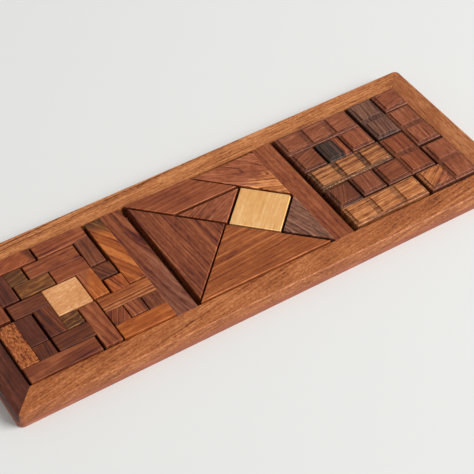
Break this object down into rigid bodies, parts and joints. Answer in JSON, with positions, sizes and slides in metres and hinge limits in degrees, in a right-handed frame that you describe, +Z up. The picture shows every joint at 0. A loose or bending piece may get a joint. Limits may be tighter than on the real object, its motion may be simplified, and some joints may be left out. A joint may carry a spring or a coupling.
{
  "type": "packing puzzle tray",
  "caption": "Long mitred wooden tray with three square cells of loose packing-puzzle pieces: pentominoes, a tangram and bevelled polyominoes.",
  "frame": {"origin": "centre of the underside of the base board", "axes": "+X along the tray towards the bevelled pieces, +Y across it towards the far rail, +Z up out of the cells"},
  "size_m": [0.366, 0.132, 0.0158],
  "materials": {
    "rosewood_orange": "satin, hand-rubbed",
    "rosewood_red": "satin, hand-rubbed",
    "rosewood_dark": "satin, hand-rubbed",
    "rosewood_pale_sapwood": "satin, hand-rubbed"
  },
  "bodies": {
    "tray": {"base_board": "rosewood_red", "near_rail": "rosewood_orange", "far_rail": "rosewood_orange", "left_rail": "rosewood_dark", "right_rail": "rosewood_orange", "left_divider": "rosewood_dark", "right_divider": "rosewood_red"},
    "bevel_corner": {"bevel_corner_block": "rosewood_red", "bevel_corner_strip": "rosewood_red"},
    "bevel_l": {"bevel_l_bar": "rosewood_orange", "bevel_l_block": "rosewood_dark"},
    "bevel_s": {"bevel_s_far_strip": "rosewood_dark", "bevel_s_near_strip": "rosewood_red"},
    "bevel_single": {"bevel_single_square": "rosewood_red"},
    "bevel_u": {"bevel_u_bar": "rosewood_orange", "bevel_u_left_block": "rosewood_red", "bevel_u_right_block": "rosewood_red"},
    "bevel_v": {"bevel_v_block": "rosewood_red", "bevel_v_strip": "rosewood_red"},
    "bevel_x": {"bevel_x_bar": "rosewood_orange", "bevel_x_far_block": "rosewood_dark", "bevel_x_near_block": "rosewood_red"},
    "f_piece": {"f_piece_block": "rosewood_dark", "f_piece_side_strip": "rosewood_orange", "f_piece_strip": "rosewood_red"},
    "i_piece": {"i_piece_bar": "rosewood_orange"},
    "l_piece": {"l_piece_bar": "rosewood_orange", "l_piece_block": "rosewood_dark"},
    "n_piece": {"n_piece_bar": "rosewood_red", "n_piece_strip": "rosewood_dark"},
    "p_piece": {"p_piece_bar": "rosewood_orange", "p_piece_strip": "rosewood_dark"},
    "pale_piece": {"pale_piece_square": "rosewood_pale_sapwood"},
    "t_piece": {"t_piece_bar": "rosewood_red", "t_piece_strip": "rosewood_dark"},
    "tangram_large_left": {"tangram_large_left": "rosewood_dark"},
    "tangram_large_near": {"tangram_large_near": "rosewood_red"},
    "tangram_medium": {"tangram_medium": "rosewood_orange"},
    "tangram_parallelogram": {"tangram_parallelogram": "rosewood_red"},
    "tangram_small_middle": {"tangram_small_middle": "rosewood_dark"},
    "tangram_small_right": {"tangram_small_right": "rosewood_dark"},
    "tangram_square": {"tangram_square": "rosewood_pale_sapwood"},
    "u_piece": {"u_piece_bar": "rosewood_orange", "u_piece_left_block": "rosewood_dark", "u_piece_right_block": "rosewood_dark"},
    "v_piece": {"v_piece_bar": "rosewood_red", "v_piece_strip": "rosewood_dark"},
    "w_piece": {"w_piece_block": "rosewood_dark", "w_piece_side_strip": "rosewood_red", "w_piece_strip": "rosewood_dark"},
    "x_piece": {"x_piece_bar": "rosewood_red", "x_piece_far_block": "rosewood_dark", "x_piece_near_block": "rosewood_dark"},
    "y_piece": {"y_piece_bar": "rosewood_red", "y_piece_block": "rosewood_dark"},
    "z_piece": {"z_piece_block": "rosewood_dark", "z_piece_side_strip": "rosewood_dark", "z_piece_strip": "rosewood_dark"}
  },
  "joints": [
    {"name": "bevel_corner_lift", "type": "slide", "parent": "tray", "child": "bevel_corner", "axis": [0, 0, 1], "range_m": [0, 0.03]},
    {"name": "bevel_l_lift", "type": "slide", "parent": "tray", "child": "bevel_l", "axis": [0, 0, 1], "range_m": [0, 0.03]},
    {"name": "bevel_s_lift", "type": "slide", "parent": "tray", "child": "bevel_s", "axis": [0, 0, 1], "range_m": [0, 0.03]},
    {"name": "bevel_single_lift", "type": "slide", "parent": "tray", "child": "bevel_single", "axis": [0, 0, 1], "range_m": [0, 0.03]},
    {"name": "bevel_u_lift", "type": "slide", "parent": "tray", "child": "bevel_u", "axis": [0, 0, 1], "range_m": [0, 0.03]},
    {"name": "bevel_v_lift", "type": "slide", "parent": "tray", "child": "bevel_v", "axis": [0, 0, 1], "range_m": [0, 0.03]},
    {"name": "bevel_x_lift", "type": "slide", "parent": "tray", "child": "bevel_x", "axis": [0, 0, 1], "range_m": [0, 0.03]},
    {"name": "f_piece_lift", "type": "slide", "parent": "tray", "child": "f_piece", "axis": [0, 0, 1], "range_m": [0, 0.03]},
    {"name": "i_piece_lift", "type": "slide", "parent": "tray", "child": "i_piece", "axis": [0, 0, 1], "range_m": [0, 0.03]},
    {"name": "l_piece_lift", "type": "slide", "parent": "tray", "child": "l_piece", "axis": [0, 0, 1], "range_m": [0, 0.03]},
    {"name": "n_piece_lift", "type": "slide", "parent": "tray", "child": "n_piece", "axis": [0, 0, 1], "range_m": [0, 0.03]},
    {"name": "p_piece_lift", "type": "slide", "parent": "tray", "child": "p_piece", "axis": [0, 0, 1], "range_m": [0, 0.03]},
    {"name": "pale_piece_lift", "type": "slide", "parent": "tray", "child": "pale_piece", "axis": [0, 0, 1], "range_m": [0, 0.03]},
    {"name": "t_piece_lift", "type": "slide", "parent": "tray", "child": "t_piece", "axis": [0, 0, 1], "range_m": [0, 0.03]},
    {"name": "tangram_large_left_lift", "type": "slide", "parent": "tray", "child": "tangram_large_left", "axis": [0, 0, 1], "range_m": [0, 0.03]},
    {"name": "tangram_large_near_lift", "type": "slide", "parent": "tray", "child": "tangram_large_near", "axis": [0, 0, 1], "range_m": [0, 0.03]},
    {"name": "tangram_medium_lift", "type": "slide", "parent": "tray", "child": "tangram_medium", "axis": [0, 0, 1], "range_m": [0, 0.03]},
    {"name": "tangram_parallelogram_lift", "type": "slide", "parent": "tray", "child": "tangram_parallelogram", "axis": [0, 0, 1], "range_m": [0, 0.03]},
    {"name": "tangram_small_middle_lift", "type": "slide", "parent": "tray", "child": "tangram_small_middle", "axis": [0, 0, 1], "range_m": [0, 0.03]},
    {"name": "tangram_small_right_lift", "type": "slide", "parent": "tray", "child": "tangram_small_right", "axis": [0, 0, 1], "range_m": [0, 0.03]},
    {"name": "tangram_square_lift", "type": "slide", "parent": "tray", "child": "tangram_square", "axis": [0, 0, 1], "range_m": [0, 0.03]},
    {"name": "u_piece_lift", "type": "slide", "parent": "tray", "child": "u_piece", "axis": [0, 0, 1], "range_m": [0, 0.03]},
    {"name": "v_piece_lift", "type": "slide", "parent": "tray", "child": "v_piece", "axis": [0, 0, 1], "range_m": [0, 0.03]},
    {"name": "w_piece_lift", "type": "slide", "parent": "tray", "child": "w_piece", "axis": [0, 0, 1], "range_m": [0, 0.03]},
    {"name": "x_piece_lift", "type": "slide", "parent": "tray", "child": "x_piece", "axis": [0, 0, 1], "range_m": [0, 0.03]},
    {"name": "y_piece_lift", "type": "slide", "parent": "tray", "child": "y_piece", "axis": [0, 0, 1], "range_m": [0, 0.03]},
    {"name": "z_piece_lift", "type": "slide", "parent": "tray", "child": "z_piece", "axis": [0, 0, 1], "range_m": [0, 0.03]}
  ]
}
